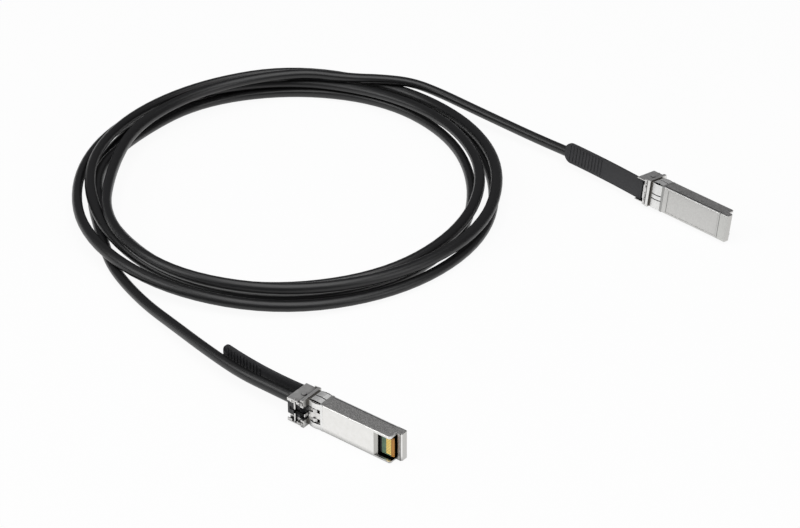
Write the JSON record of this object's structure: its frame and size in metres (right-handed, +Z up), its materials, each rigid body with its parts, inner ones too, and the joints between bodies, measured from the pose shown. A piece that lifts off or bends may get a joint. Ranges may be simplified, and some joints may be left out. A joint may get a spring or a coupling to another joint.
{
  "type": "direct attach copper cable",
  "caption": "Black twinax copper cable, loosely coiled, with a pluggable metal module, spring collar and pull-tab latch at each end.",
  "frame": {"origin": "on the surface the cable lies on, under the middle of the box round the two plugs", "axes": "+X is the way plug A goes into its cage, +Z is up, +Y is from plug A towards plug B"},
  "size_m": [0.3029, 0.2588, 0.0152],
  "materials": {
    "cast_shell": "satin",
    "sheet_cover": "satin",
    "stamped_steel": "satin",
    "spring_steel": "bright",
    "card_laminate": "matte",
    "gold_contact": "bright",
    "chip_plastic": "matte",
    "core_insulation": "satin",
    "moulded_black": "matte",
    "tab_black": "matte",
    "cable_jacket": "satin"
  },
  "bodies": {
    "cable_and_shells": {"shell_base_a": "cast_shell", "shell_cover_a": "sheet_cover", "emi_collar_a": "spring_steel", "paddle_card_a": "card_laminate", "contact_pads_a": "gold_contact", "id_chip_a": "chip_plastic", "capacitors_a": "chip_plastic", "wire_cores_a": "core_insulation", "crimp_ferrule_a": "spring_steel", "strain_relief_a": "moulded_black", "return_springs_a": "spring_steel", "guide_rivets_a": "stamped_steel", "shell_base_b": "cast_shell", "shell_cover_b": "sheet_cover", "emi_collar_b": "spring_steel", "paddle_card_b": "card_laminate", "contact_pads_b": "gold_contact", "id_chip_b": "chip_plastic", "capacitors_b": "chip_plastic", "wire_cores_b": "core_insulation", "crimp_ferrule_b": "spring_steel", "strain_relief_b": "moulded_black", "return_springs_b": "spring_steel", "guide_rivets_b": "stamped_steel", "cable_lead_a": "cable_jacket", "cable_coil": "cable_jacket", "cable_lead_b": "cable_jacket"},
    "latch_a": {"latch_slider_a": "stamped_steel", "cross_pin_a": "stamped_steel", "release_fork_a": "cast_shell", "pull_tab_a": "tab_black"},
    "latch_b": {"latch_slider_b": "stamped_steel", "cross_pin_b": "stamped_steel", "release_fork_b": "cast_shell", "pull_tab_b": "tab_black"}
  },
  "joints": [
    {"name": "latch_a_slide", "type": "slide", "parent": "cable_and_shells", "child": "latch_a", "axis": [-1, 0, 0], "range_m": [0, 0.0023], "stiffness_N_per_m": 1500, "springref_m": -0.0005, "deforming": ["return_springs_a"]},
    {"name": "latch_b_slide", "type": "slide", "parent": "cable_and_shells", "child": "latch_b", "axis": [-0.9912, 0.1323, 0], "range_m": [0, 0.0023], "stiffness_N_per_m": 1500, "springref_m": -0.0005, "deforming": ["return_springs_b"]}
  ]
}
